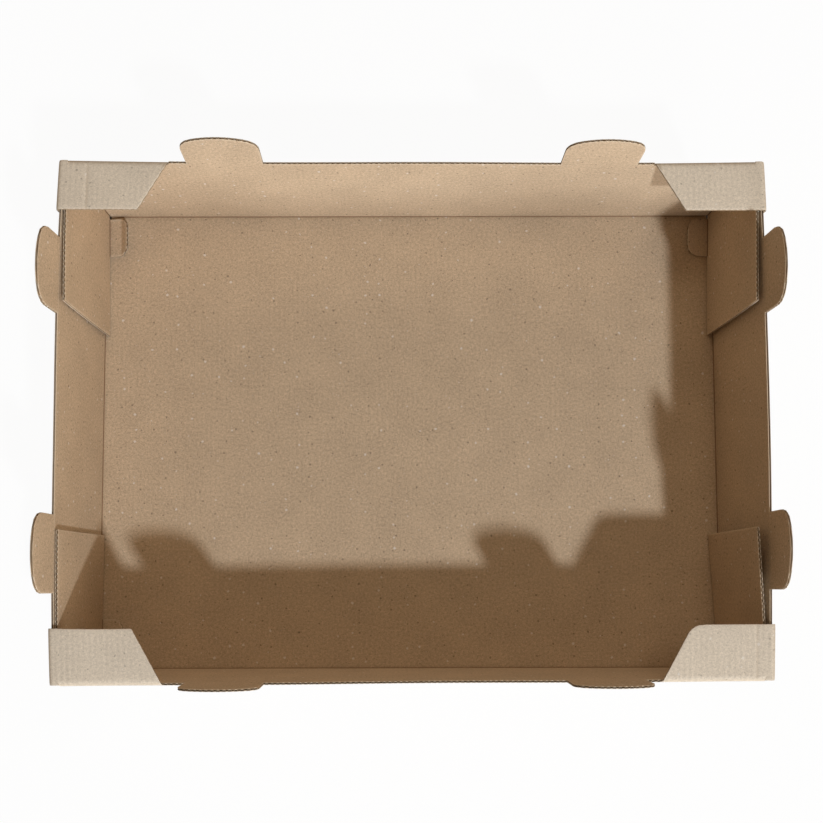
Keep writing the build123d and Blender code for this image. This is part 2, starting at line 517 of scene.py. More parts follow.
@dataclass(frozen=True)
class Warp:
    """How the walls of the folded sheet bow, and its slow, slight unevenness.

    A power shapes a fall from 1 to 0, and a wave is its turns in radians and its start.
    """

    sizes: TraySizes
    left_out: float = 2.6 * MM
    right_out: float = 2.1 * MM
    back_in: float = 1.1 * MM
    front_in: float = 0.05 * MM
    long_power: float = 4
    short_power: float = 2.5
    near_power: float = 6
    wave: float = 0.2 * MM
    long_wave: Pair = (6.1, 1.1)
    short_wave: Pair = (4.3, 2.0)
    floor_lift: float = 0.4 * MM
    floor_reach: float = 4.0 * MM

    def __call__(self, points: Grid) -> Grid:
        """Moves points by the bow of the wall that they are near.

        A wall's bow is full at the rim and in the middle of its length, and nothing at its foot
        and its ends: a quarter sine wave of the height, times one less a power of the share of the
        half length. Slow sine waves along the walls are added, and so is a share of each rim
        corner's own shift, even along both axes. The floor lifts in the middle.

        Args:
            points: any array whose last axis holds x, y and z.

        Returns:
            The moved points.
        """
        x, y, z = points[..., 0], points[..., 1], points[..., 2]
        along_x = x / (self.sizes.length / 2)
        along_y = y / (self.sizes.width / 2)
        rise = np.sin(math.pi / 2 * np.clip(z / self.sizes.height, 0.0, 1.0))
        long_middle = np.clip(1.0 - np.abs(along_x) ** self.long_power, 0.0, 1.0)
        short_middle = np.clip(1.0 - np.abs(along_y) ** self.short_power, 0.0, 1.0)
        near_long = np.clip(np.abs(along_y), 0.0, 1.0) ** self.near_power
        near_short = np.clip(np.abs(along_x), 0.0, 1.0) ** self.near_power
        out = np.where(x < 0.0, -self.left_out, self.right_out)
        inwards = np.where(y < 0.0, self.front_in, -self.back_in)
        wave_y = self.wave * np.sin(self.short_wave[0] * along_y + self.short_wave[1])
        wave_x = self.wave * np.sin(self.long_wave[0] * along_x + self.long_wave[1])
        moved = points.copy()
        moved[..., 0] += near_short * short_middle * rise * (out + wave_y)
        moved[..., 1] += near_long * long_middle * rise * (inwards + wave_x)
        for corner in CORNERS:
            share = rise * (1.0 + corner.side_x * along_x) * (1.0 + corner.side_y * along_y) / 4
            moved[..., 0] += share * corner.rim_x
            moved[..., 1] += share * corner.rim_y
        low = bell(z, self.floor_reach)
        moved[..., 2] += self.floor_lift * low * (1.0 - along_x**2) * (1.0 - along_y**2)
        return moved


def linked(name: str, data: bpy.types.ID) -> bpy.types.Object:
    """Makes an object of some data and puts it in the scene.

    Args:
        name: the object's name.
        data: its mesh, lamp or camera.

    Returns:
        The object.
    """
    made = bpy.data.objects.new(name, data)
    bpy.context.scene.collection.objects.link(made)
    return made


class SheetBuilder:
    """Turns panels into the three papers of the board, as one piece with three finishes."""

    LINER_STEP = 4.0 * MM
    FLUTE_STEP = 16.0 * MM
    FLUTE_SAMPLES = 8

    def __init__(self, sizes: TraySizes, finishes: dict[Paper, Material]) -> None:
        """Keeps the board, its unevenness and its finishes.

        Args:
            sizes: the tray's sizes.
            finishes: the papers' materials.
        """
        self.board = sizes.board
        self.warp = Warp(sizes)
        self.finishes = finishes

    def _faces(self, paper: Paper, across: Grid) -> tuple[Grid, Grid]:
        """Depths of both faces of a paper from the board's middle.

        A liner lies flat at its own depth in the board. The fluting follows a cosine of the
        coordinate across, and its thickness is measured square to its own slope.

        Args:
            paper: which paper.
            across: flat coordinates across the flutes.

        Returns:
            The depths of the outer and the inner face.
        """
        board = self.board
        half = board.thickness / 2
        if paper is Paper.FLUTING:
            phase = 2 * math.pi * across / board.pitch
            slope = board.wave_height * 2 * math.pi / board.pitch * np.sin(phase)
            middle = board.wave_height * np.cos(phase)
            thick = board.fluting * np.sqrt(1.0 + slope**2) / 2
            return middle - thick, middle + thick
        outer = -half if paper is Paper.OUTER_LINER else half - board.liner
        inner = -half + board.liner if paper is Paper.OUTER_LINER else half
        return np.full_like(across, outer), np.full_like(across, inner)

    def _add_paper(self, parts: MeshParts, panel: Panel, paper: Paper, columns: Grid, step: float) -> None:
        """Adds one paper of one panel, squeezed at folds and cuts and carried to its place.

        Args:
            parts: where the skin goes.
            panel: the panel.
            paper: which paper to add.
            columns: places of the grid's columns.
            step: widest gap between the grid's rows.
        """
        board = self.board
        across, along = panel.grid(columns, step)
        distance = panel.edge_distance(across, along)
        fold_tight = panel.fold_near(across, along, board.fold_crush_width)
        edge_tight = np.exp(-distance / board.edge_crush_width / panel.wear)
        share = 1.0 - board.fold_crush * fold_tight - board.edge_crush * edge_tight
        depths = self._faces(paper, across)
        faces = [self.warp(panel.place(across, along, depth * share)) for depth in depths]
        repeated = np.zeros(across.shape, bool)
        repeated[:, 1:] = np.abs(np.diff(along, axis=1)) < SAME_PLACE
        row = np.maximum.accumulate(np.where(repeated, 0, np.arange(across.shape[1])), axis=1)
        same = np.arange(across.shape[0])[:, None] * across.shape[1] + row
        edge_wear = np.exp(-distance / board.edge_wear_width / panel.wear)
        # nearness to folds and press lines, where the colour shows a crease with painted shade
        fold_wear = panel.fold_near(across, along, board.fold_line_width)
        flat = (across * panel.signs[0], along * panel.signs[1])
        parts.add_skin(*faces, same, np.stack([*flat, edge_wear, fold_wear], axis=-1), paper)

    def build(self, name: str, panels: list[Panel]) -> bpy.types.Object:
        """Makes one piece from panels, each with all three papers.

        Args:
            name: the piece's name.
            panels: its panels.

        Returns:
            The finished object, riding on the tray's body and standing for its solid.
        """
        parts = MeshParts()
        fine = self.board.pitch / self.FLUTE_SAMPLES
        for panel in panels:
            low, high = panel.across
            columns = stations(low, high, self.LINER_STEP, panel.across_folds)
            self._add_paper(parts, panel, Paper.OUTER_LINER, columns, self.LINER_STEP)
            self._add_paper(parts, panel, Paper.INNER_LINER, columns, self.LINER_STEP)
            whole = np.arange(math.ceil(low / fine) + 1, math.floor(high / fine)) * fine
            waves = np.concatenate([[low], whole, [high]])
            self._add_paper(parts, panel, Paper.FLUTING, waves, self.FLUTE_STEP)
        piece = linked(name, self._mesh(name, parts))
        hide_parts(CAD_NODE)
        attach(piece, BODY)
        return piece

    def _mesh(self, name: str, parts: MeshParts) -> bpy.types.Mesh:
        """Puts the gathered arrays into a mesh with its attributes and finishes, faces outwards.

        Args:
            name: the mesh's name.
            parts: the gathered arrays.

        Returns:
            The mesh.
        """
        corners, sizes, keep = merged_faces(np.concatenate(parts.faces))
        used, corners = np.unique(corners, return_inverse=True)
        corners = corners.ravel()
        points = np.concatenate(parts.points)[used].astype(np.float32)
        values = np.concatenate(parts.values)[used].astype(np.float32)
        papers = np.concatenate(parts.papers)[keep]
        starts = np.concatenate([[0], np.cumsum(sizes)[:-1]])
        mesh = bpy.data.meshes.new(name)
        mesh.vertices.add(len(used))
        mesh.vertices.foreach_set("co", points.ravel())
        mesh.loops.add(len(corners))
        mesh.loops.foreach_set("vertex_index", corners.astype(np.int32))
        mesh.polygons.add(len(sizes))
        mesh.polygons.foreach_set("loop_start", starts.astype(np.int32))
        mesh.polygons.foreach_set("material_index", papers.astype(np.int32))
        mesh.update(calc_edges=True)
        mesh.uv_layers.new(name=SHEET_MAP).data.foreach_set("uv", values[corners, :2].ravel())
        for label, column in ((EDGE_WEAR, 2), (FOLD_CREASE_AND_SHADE, 3)):
            attribute = mesh.attributes.new(label, "FLOAT", "POINT")
            attribute.data.foreach_set("value", values[:, column].copy())
        mesh.validate()
        mesh.shade_smooth()
        mesh.set_sharp_from_angle(angle=math.radians(SHARP_ANGLE))
        for paper in Paper:
            mesh.materials.append(self.finishes[paper])
        turned = bmesh.new()
        turned.from_mesh(mesh)
        bmesh.ops.recalc_face_normals(turned, faces=turned.faces)
        turned.to_mesh(mesh)
        turned.free()
        return mesh


def constant(low: float, high: float) -> Edges:
    """Straight cut edges: the same first and last place along every flute."""
    return lambda across: (np.full_like(across, low), np.full_like(across, high))


def near_across(section: Section, start: float) -> Closeness:
    """Nearness to the folds of a section that runs across from a start."""
    return lambda across, along, width: section.folds(across - start, width)


def near_along(section: Section) -> Closeness:
    """Nearness to the folds of a section that runs along, both ways from the middle."""
    return lambda across, along, width: section.folds(np.abs(along), width)


def over_wall(section: Section, side_x: float = 1.0, side_y: float = 1.0) -> Placing:
    """Carries flat points over the long walls: across is X, and along follows a section both ways.

    Args:
        section: the section of the +Y side.
        side_x: the sign of X.
        side_y: the sign of Y where along is positive.

    Returns:
        The function that places them.
    """

    def place(across: Grid, along: Grid, depth: Grid) -> Grid:
        """Points at depths from the section, on the side that along says."""
        y, z = section.off(np.abs(along), depth)
        return np.stack([side_x * across, np.where(along < 0.0, -side_y, side_y) * y, z], axis=-1)

    return place


@dataclass
class TabShape:
    """The outline of a stacking tab: straight sides, round shoulders and a crowned top."""

    sizes: TraySizes

    @property
    def crown_radius(self) -> float:
        """Radius of the top: from half the width and the crown's height."""
        half, crown = self.sizes.tab_width / 2, self.sizes.tab_crown
        return (half**2 + crown**2) / (2 * crown)

    @property
    def shoulder(self) -> Pair:
        """Centre of a shoulder's arc, which touches the side and the crown's arc from inside.

        Returns:
            Its distance from the middle of the tab, and its height over the root.
        """
        s = self.sizes
        out = s.tab_width / 2 - s.tab_shoulder_radius
        inner = self.crown_radius - s.tab_shoulder_radius
        return out, s.tab_height - self.crown_radius + math.sqrt(inner**2 - out**2)

    @staticmethod
    def arc(radius: float, away: Grid) -> Grid:
        """Height of a circle over its centre, at places away from it, and 0 past its ends."""
        return np.sqrt(np.maximum(radius**2 - away**2, 0.0))

    def top(self, away: Grid) -> Grid:
        """Height of the outline over places away from the tab's middle: two arcs in turn.

        Args:
            away: places along the tab's width, from its middle.

        Returns:
            Heights over the tab's root.
        """
        s, radius = self.sizes, self.crown_radius
        out, up = self.shoulder
        touch = out * radius / (radius - s.tab_shoulder_radius)
        away = np.abs(away)
        crown = s.tab_height - radius + self.arc(radius, away)
        return np.where(away > touch, up + self.arc(s.tab_shoulder_radius, away - out), crown)

    def half_width(self, height: Grid) -> Grid:
        """Half the tab's width at heights over its root: the side, then two arcs in turn.

        Args:
            height: heights over the tab's root.

        Returns:
            Half the width at each of them.
        """
        s, radius = self.sizes, self.crown_radius
        out, up = self.shoulder
        centre = s.tab_height - radius
        touch = centre + (up - centre) * radius / (radius - s.tab_shoulder_radius)
        shoulder = out + self.arc(s.tab_shoulder_radius, height - up)
        half = np.where(height > touch, self.arc(radius, height - centre), shoulder)
        return np.where(height < up, s.tab_width / 2, half)

    def rise(self, from_rim: float, lean: float) -> Parts:
        """The tab's section from a place below the rim: a run, the gentle bend and the leaning run.

        Args:
            from_rim: length of wall between the section's start and the rim.
            lean: how far the tab leans out, in degrees.

        Returns:
            Lengths and turns for a section.
        """
        bend = min(self.sizes.tab_bend_radius * math.radians(lean), from_rim)
        return [(from_rim - bend, 0.0), (bend, -lean), (self.sizes.tab_height, 0.0)]


@dataclass
class FloorAndLongWalls:
    """The floor with both long walls, folded up from it, and their rims between the ledges."""

    sizes: TraySizes

    def section(self, above: Parts) -> Section:
        """From the middle of the floor over a long wall to a ledge's fold, and through parts above."""
        return Section((0.0, self.sizes.board.thickness / 2), 0.0, self.sizes.long_wall + above)

    def body(self) -> list[Panel]:
        """The floor and both walls as one panel, up to where the ledges' folds begin.

        Returns:
            The only panel, in a list.
        """
        end, wall = self.sizes.long_end, self.section([])
        folds = tuple(side * fold for side in (-1, 1) for fold in wall.fold_places)
        edges = constant(-wall.length, wall.length)
        return [Panel((-end, end), edges, over_wall(wall), near_along(wall), along_folds=folds)]

    def rims(self) -> list[Panel]:
        """The strips of wall over the body, between the ledges and beside the tabs.

        Returns:
            Three panels for each of the two walls.
        """
        s = self.sizes
        rim = self.section([(s.rim_rise, 0.0)])
        low, high, half = self.section([]).length, rim.length, s.tab_width / 2
        place, near = over_wall(rim), near_along(rim)
        panels = []
        for side, edges in ((-1.0, constant(-high, -low)), (1.0, constant(low, high))):
            left, right = (self.tab_middle(tab) for tab in LONG_WALL_TABS if tab.side_y == side)
            ends = (-s.ledge_start, left - half, left + half, right - half, right + half, s.ledge_start)
            for across in zip(ends[::2], ends[1::2]):
                panels.append(Panel(across, edges, place, near, cut=(False, False, side < 0, side > 0)))
        return panels

    def tab_middle(self, tab: StackingTab) -> float:
        """X of the middle of a tab."""
        return tab.side_x * self.sizes.long_tab_pitch / 2 + tab.shift

    def tab(self, tab: StackingTab) -> list[Panel]:
        """One stacking tab of a long wall, whose flutes run up and down.

        Args:
            tab: where it stands and how it leans.

        Returns:
            Its only panel, in a list.
        """
        s, shape = self.sizes, TabShape(self.sizes)
        low, rim = self.section([]).length, self.section([(s.rim_rise, 0.0)]).length
        centre, half = self.tab_middle(tab), s.tab_width / 2

        def edges(across: Grid) -> tuple[Grid, Grid]:
            """From the fold of a ledge to the tab's outline.

            Args:
                across: places along X.

            Returns:
                First and last place along.
            """
            top = rim + shape.top(across - centre) - HAIR
            start = np.full_like(across, low)
            return (start, top) if tab.side_y > 0 else (-top, -start)

        section = self.section(shape.rise(s.rim_rise, tab.lean))
        cut = (True, True, tab.side_y < 0, tab.side_y > 0)
        across = (centre - half, centre + half)
        return [Panel(across, edges, over_wall(section), near_along(section), cut=cut)]


@dataclass
class ShortWall:
    """One short wall with its part of the floor, its foot fold and its two stacking tabs."""

    sizes: TraySizes
    side: float

    def section(self, lean: float | None = None) -> Section:
        """From the long walls' end over the short wall to its rim, or to the top of a leaning tab.

        Args:
            lean: how far the tab leans out, in degrees, or None for the wall alone.

        Returns:
            The section, on the +X side.
        """
        s, board = self.sizes, self.sizes.board
        foot = s.short_outer - board.thickness / 2 - board.fold_middle - s.long_end
        rise = s.short_rim - board.thickness / 2 - board.fold_middle
        upper = [(rise, 0.0)] if lean is None else TabShape(s).rise(rise, lean)
        parts = [(foot, 0.0), board.fold(90.0), *upper]
        return Section((s.long_end, board.thickness / 2), 0.0, parts)

    def shared(self, section: Section) -> dict[str, object]:
        """What the wall's panels have in common: along is Y, and across follows the section.

        Args:
            section: the section of the +X side.

        Returns:
            The panels' fields.
        """
        start = self.sizes.long_end

        def place(across: Grid, along: Grid, depth: Grid) -> Grid:
            """Points at depths from the section, on the wall's own side."""
            x, z = section.off(across - start, depth)
            return np.stack([self.side * x, along, z], axis=-1)

        return {"place": place, "fold_near": near_across(section, start), "signs": (self.side, 1.0)}

    def wall(self) -> list[Panel]:
        """The foot, narrower to clear the corners, and the wall over it.

        Returns:
            Two panels.
        """
        s, section = self.sizes, self.section()
        start, notch = s.long_end, s.board.fold_outside + s.corner_relief
        top = start + section.length
        split = top - (s.short_rim - notch)
        foot, wall = s.width / 2 - notch, s.width / 2 - s.short_wall_end_gap
        folds = tuple(start + fold for fold in section.fold_places)
        shared = self.shared(section)
        return [
            Panel((start, split), constant(-foot, foot), across_folds=folds, cut=(False, False, True, True),
                  **shared),
            Panel((split, top), constant(-wall, wall), cut=(False, True, True, True), **shared),
        ]

    def tab(self, tab: StackingTab) -> list[Panel]:
        """One stacking tab, whose flutes run level.

        Args:
            tab: where it stands and how it leans.

        Returns:
            Its only panel, in a list.
        """
        s, shape = self.sizes, TabShape(self.sizes)
        root = s.long_end + self.section().length
        centre = tab.side_y * s.short_tab_pitch / 2 + s.short_tab_shift

        def edges(across: Grid) -> tuple[Grid, Grid]:
            """From one side of the tab's outline to the other."""
            half = shape.half_width(across - root)
            return centre - half, centre + half

        across = (root, root + s.tab_height - HAIR)
        return [Panel(across, edges, cut=(False, True, True, True), **self.shared(self.section(tab.lean)))]


@dataclass
class CornerFlap:
    """The end of a long wall, folded round the corner, with the tongue at its foot."""

    sizes: TraySizes
    corner: Corner

    @property
    def turn(self) -> float:
        """How far the corner fold turns."""
        return 90.0 + self.corner.swing

    @property
    def tangent(self) -> float:
        """Length that the corner fold takes up of each of its sides."""
        return self.sizes.board.fold_middle * math.tan(math.radians(self.turn / 2))

    def plan(self) -> Section:
        """The flap seen from above: the corner fold and the flap, with distance inwards as second axis.

        Returns:
            The section, in the +X +Y corner.
        """
        s, c = self.sizes, self.corner
        half = (c.flap_length - s.board.thickness / 2 - self.tangent) / 2
        curl = math.degrees(2 * c.flap_bow / half)
        parts = [s.board.fold(self.turn), (half, -curl / 2), (half, curl)]
        return Section((s.long_end, s.board.thickness / 2), 0.0, parts)

    def tongue_section(self) -> Section:
        """From the flap's foot down, round the fold and inwards over the floor, with a curled end.

        Returns:
            The section, with distance inwards from the flap as first axis.
        """
        s, c = self.sizes, self.corner
        curled = (s.board.thickness * s.tongue_curl_boards, c.tongue_curl)
        flat = (s.tongue_depth * s.tongue_flat_share, 0.0)
        parts = [s.board.fold(90.0 + c.tongue_rise), flat, curled, (s.tongue_depth, 0.0)]
        return Section((0.0, s.tongue_top), -90.0, parts)

    def placing(self, tongue: Section | None = None) -> Placing:
        """Carries flat points to their place: across follows the plan, and along is Z.

        Args:
            tongue: the section that a tongue's points follow along, and which stands on the plan.

        Returns:
            The function that places them.
        """
        s, c, plan = self.sizes, self.corner, self.plan()

        def place(across: Grid, along: Grid, depth: Grid) -> Grid:
            """Points at distances inwards from the plan, in the flap's own corner.

            Args:
                across: flat coordinates across.
                along: flat coordinates along.
                depth: depths inwards from the board's middle.

            Returns:
                The points.
            """
            inwards, z = tongue.off(along, depth) if tongue else (depth, along)
            x, apart = plan.off(across - s.long_end, inwards)
            return np.stack([c.side_x * x, c.side_y * (s.width / 2 - apart), z], axis=-1)

        return place

    def panels(self) -> list[Panel]:
        """The flap over the tongue's fold, its foot on both sides of the tongue, and the tongue.

        Returns:
            Four panels.
        """
        s, c, plan, bent = self.sizes, self.corner, self.plan(), self.tongue_section()
        start, end = s.long_end, s.long_end + plan.length
        root = start + s.board.fold(self.turn)[0] - self.tangent + s.board.thickness / 2
        first = root + s.tongue_start + c.tongue_shift
        last = first + s.tongue_length
        middle, straight = (first + last) / 2, s.tongue_length / 2 - s.tongue_radius
        whole = constant(s.tongue_top, s.short_rim)
        foot = constant(s.board.thickness + s.flap_foot_gap, s.tongue_top)
        folds = tuple(start + fold for fold in plan.fold_places)

        def tongue_edges(across: Grid) -> tuple[Grid, Grid]:
            """From the tongue's fold to its end, which is shorter at the round corners.

            Args:
                across: places along the fold.

            Returns:
                First and last place along.
            """
            into = np.clip(np.abs(across - middle) - straight, 0.0, s.tongue_radius)
            short = s.tongue_radius - np.sqrt(s.tongue_radius**2 - into**2)
            return np.zeros_like(across), bent.where_u(s.board.thickness / 2 + s.tongue_depth - short, 0.0)

        signs = (c.side_x, c.side_y)
        shared = {"place": self.placing(), "fold_near": near_across(plan, start), "signs": signs}
        return [
            Panel((start, end), whole, across_folds=folds, cut=(False, True, False, True), **shared),
            Panel((start, first), foot, across_folds=folds, cut=(False, False, True, False), **shared),
            Panel((last, end), foot, cut=(False, True, True, False), **shared),
            # the tongue: a curled one gets the wider edge, whose pale scuffing partly paints a highlight
            Panel((first, last), tongue_edges, self.placing(bent), near_along(bent),
                  along_folds=bent.bend_places, rows=Row.CLIPPED, cut=(True, True, False, True),
                  signs=signs, wear=s.tongue_wear if c.tongue_curl else 1.0),
        ]


@dataclass
class CornerLedge:
    """A ledge, folded inwards from a long wall's rim, with its end glued outside the short wall."""

    sizes: TraySizes
    corner: Corner

    def section(self) -> Section:
        """From the middle of the floor over the long wall and its rim fold to the ledge's inner edge.

        Returns:
            The section, on the +Y side.
        """
        s, c = self.sizes, self.corner
        run = s.long_middle - s.board.fold_middle - (s.width / 2 - c.ledge_depth)
        parts = [*s.long_wall, s.board.fold(90.0 + c.ledge_tilt), (run, 0.0)]
        return Section((0.0, s.board.thickness / 2), 0.0, parts)

    def end_section(self) -> Section:
        """From the end of the long wall outwards, round the end fold and down the short wall's outside.

        Returns:
            The section, with depth below the ledge as second axis.
        """
        s, board = self.sizes, self.sizes.board
        out = s.length / 2 - board.thickness / 2 - board.fold_middle - s.long_end
        down = s.glue_tab_height - board.thickness / 2 - board.fold_middle
        return Section((s.long_end, 0.0), 0.0, [(out, 0.0), board.fold(90.0), (down, 0.0)])

    def inner_edge(self, across: Grid) -> Grid:
        """Y of the ledge's free edge over X: the slanted cut, a round corner, then the straight edge.

        Args:
            across: X on the +X side.

        Returns:
            Y on the +Y side.
        """
        s, c, radius = self.sizes, self.corner, self.corner.ledge_radius
        slanted = s.ledge_corner - s.ledge_start
        edge = s.width / 2 - c.ledge_depth
        slant = s.width / 2 - c.ledge_depth * (across - s.ledge_start) / slanted
        turn = math.atan2(c.ledge_depth, slanted)
        tangent = radius * math.tan(turn / 2)
        centre_x = s.ledge_corner + tangent
        rounded = edge + radius - TabShape.arc(radius, across - centre_x)
        y = np.where(across < s.ledge_corner - tangent * math.cos(turn), slant, rounded)
        return np.where(across > centre_x, edge, y)

    def ledge(self) -> Panel:
        """The ledge over the long wall: across is X, and along follows the section.

        Returns:
            The panel.
        """
        s, c, section = self.sizes, self.corner, self.section()
        start, half = s.ledge_start, s.length / 2
        fold_start = float(sum(length for length, _ in s.long_wall))
        pressed_at, folded = half - c.press_line, near_along(section)

        def edges(across: Grid) -> tuple[Grid, Grid]:
            """From the rim's fold to the inner edge, which bows inwards by half a sine wave.

            Args:
                across: places along X.

            Returns:
                First and last place along.
            """
            stop = section.where_u(np.minimum(self.inner_edge(across), s.long_middle), fold_start)
            share = np.clip((across - start) / (half - start), 0.0, 1.0)
            bowed = stop - c.ledge_bow * np.sin(math.pi * share)
            return np.full_like(across, fold_start), np.maximum(bowed, fold_start)

        def near(across: Grid, along: Grid, width: float) -> Grid:
            """Nearness to a fold, or by a share to the ledge's press line, where the colour is darkened
            partly as painted shade.
            """
            pressed = c.press_share * bell(across - pressed_at, width)
            return np.maximum(folded(across, along, width), pressed)

        return Panel(
            (start, s.long_end), edges, over_wall(section, c.side_x, c.side_y), near,
            across_folds=(s.ledge_corner, pressed_at) if c.press_share else (s.ledge_corner,),
            along_folds=tuple(fold for fold in section.fold_places if fold > fold_start),
            rows=Row.CLIPPED, cut=(True, False, False, True), signs=(c.side_x, c.side_y),
        )

    def end(self) -> Panel:
        """The outer end with the glue tab: across follows the end's section, along the tilted ledge.

        Returns:
            The panel.
        """
        s, c, section, end = self.sizes, self.corner, self.section(), self.end_section()
        start, edge = s.long_end, section.length
        whole = start + end.length
        taper_start = whole - (s.glue_tab_height - s.board.fold_outside)
        side = edge - (c.ledge_depth - s.ledge_side_gap)
        y_edge, z_edge, normal_y, normal_z = (float(part[0]) for part in section.at(np.array([edge])))

        def edges(across: Grid) -> tuple[Grid, Grid]:
            """The ledge's width, which tapers down the glue tab on both sides."""
            inset = s.glue_tab_taper * np.clip((across - taper_start) / (whole - taper_start), 0.0, 1.0)
            return side + inset, edge - inset

        def place(across: Grid, along: Grid, depth: Grid) -> Grid:
            """Points of the end's section, turned with the tilted ledge about its inner edge.

            Args:
                across: flat coordinates across.
                along: flat coordinates along.
                depth: depths inwards from the board's middle.

            Returns:
                The points.
            """
            x, drop = end.off(across - start, depth)
            back = along - edge
            y = y_edge + back * normal_z + drop * normal_y
            z = z_edge - back * normal_y + drop * normal_z
            return np.stack([c.side_x * x, c.side_y * y, z], axis=-1)

        folds = tuple(start + fold for fold in end.fold_places)
        return Panel((start, whole), edges, place, near_across(end, start), across_folds=folds,
                     cut=(False, True, True, True), signs=(c.side_x, c.side_y))


class Wiring:
    """Places and links the nodes of one tree."""

    def __init__(self, tree: Tree) -> None:
        """Starts on a tree."""
        self.tree = tree

    def fill(self, node: bpy.types.Node, *values: object, **named: object) -> bpy.types.Node:
        """Fills sockets of a node, each with a value or with a link from another socket.

        Args:
            node: the node.
            values: what its first sockets get, in order.
            named: what other sockets get, by their names with underscores for spaces.

        Returns:
            The node.
        """
        sockets = [*zip(node.inputs, values)]
        sockets += [(node.inputs[name.replace("_", " ")], value) for name, value in named.items()]
        for socket, value in sockets:
            self.feed(socket, value)
        return node

    def add(self, kind: str, settings: dict[str, object], *values: object, **named: object) -> bpy.types.Node:
        """Adds a node.

        Args:
            kind: the node's type name, past its first part, ShaderNode.
            settings: properties to set.
            values: what its first sockets get, in order.
            named: what other sockets get, by name.

        Returns:
            The node.
        """
        node = self.tree.nodes.new("ShaderNode" + kind)
        for name, value in settings.items():
            setattr(node, name, value)
        return self.fill(node, *values, **named)

    def feed(self, socket: Socket, value: object) -> None:
        """Links a socket to another, or sets its value.

        Args:
            socket: an input socket.
            value: an output socket or a value.
        """
        if isinstance(value, Socket):
            self.tree.links.new(value, socket)
        else:
            socket.default_value = value

    def math(self, operation: str, *values: object) -> Socket:
        """Adds a Math node.

        Args:
            operation: what it does.
            values: its inputs, each a value or a socket.

        Returns:
            Its result.
        """
        return self.add("Math", {"operation": operation}, *values).outputs[0]

    def mix(
        self, factor: object, first: object, second: object, blend: str = "MIX"
    ) -> Socket:
        """Adds a colour Mix node.

        Args:
            factor: how much of the second colour shows.
            first: the first colour.
            second: the second colour.
            blend: how they are blended.

        Returns:
            Its result.
        """
        node = self.add("Mix", {"data_type": "RGBA", "blend_type": blend})
        for number, value in ((0, factor), (6, first), (7, second)):
            self.feed(node.inputs[number], value)
        return node.outputs[2]

    def lit(self, colour: Socket, lightness: Socket) -> Socket:
        """A colour times a lightness."""
        grey = self.add("CombineXYZ", {}, lightness, lightness, lightness)
        return self.mix(1.0, colour, grey.outputs[0], "MULTIPLY")

    def ramp(self, value: object, low: float, high: float) -> Socket:
        """A smooth step from 0 where a value is low to 1 where it is high."""
        settings = {"interpolation_type": "SMOOTHSTEP", "clamp": True}
        return self.add("MapRange", settings, Value=value, From_Min=low, From_Max=high).outputs["Result"]

    def noise(self, sheet: Socket, scale: float, detail: float) -> Socket:
        """Noise over the flat sheet, from 0 to 1."""
        return self.add("TexNoise", {}, Vector=sheet, Scale=scale, Detail=detail).outputs["Fac"]

    def seen(self) -> Socket:
        """1 for rays that come from the camera or through a gloss or glass, 0 for others.

        Returns:
            A mask.
        """
        path = self.add("LightPath", {}).outputs
        seen = self.math("MAXIMUM", path["Is Camera Ray"], path["Is Glossy Ray"])
        return self.math("MAXIMUM", seen, path["Is Transmission Ray"])

    def finish(self, output: str, factor: object, first: bpy.types.Node, second: bpy.types.Node) -> None:
        """Mixes two shaders into the tree's output.

        Args:
            output: the output node's name.
            factor: how much of the second shader shows.
            first: the first shader's node.
            second: the second shader's node.
        """
        mix = self.add("MixShader", {}, factor, first.outputs[0], second.outputs[0])
        self.feed(self.tree.nodes[output].inputs["Surface"], mix.outputs[0])


FLOAT, COLOUR, VECTOR = "NodeSocketFloat", "NodeSocketColor", "NodeSocketVector"
WHITE = (1.0, 1.0, 1.0, 1.0)


class GroupWiring(Wiring):
    """The wiring of a new node group with named sockets."""

    def __init__(self, name: str, inputs: dict[str, str], outputs: dict[str, str]) -> None:
        """Makes the group.

        Args:
            name: the group's name.
            inputs: kind of each input.
            outputs: kind of each output.
        """
        super().__init__(bpy.data.node_groups.new(name, "ShaderNodeTree"))
        for direction, sockets in (("INPUT", inputs), ("OUTPUT", outputs)):
            for label, kind in sockets.items():
                self.tree.interface.new_socket(label, in_out=direction, socket_type=kind)
        self.source = self.tree.nodes.new("NodeGroupInput").outputs
        self.result = self.tree.nodes.new("NodeGroupOutput").inputs


@dataclass(frozen=True)
class PulpCloud:
    """One size of cloud in the pulp: its noise, and how much of it shows as tone and as relief."""

    scale: float
    detail: float
    roughness: float
    tone: float
    relief: float


@dataclass(frozen=True)
class PulpSpecks:
    """One kind of speck: its cells, its largest radius, which cells lack one, its tint and strength."""

    scale: float
    radius: float
    missing: float
    tint: str
    strength: float


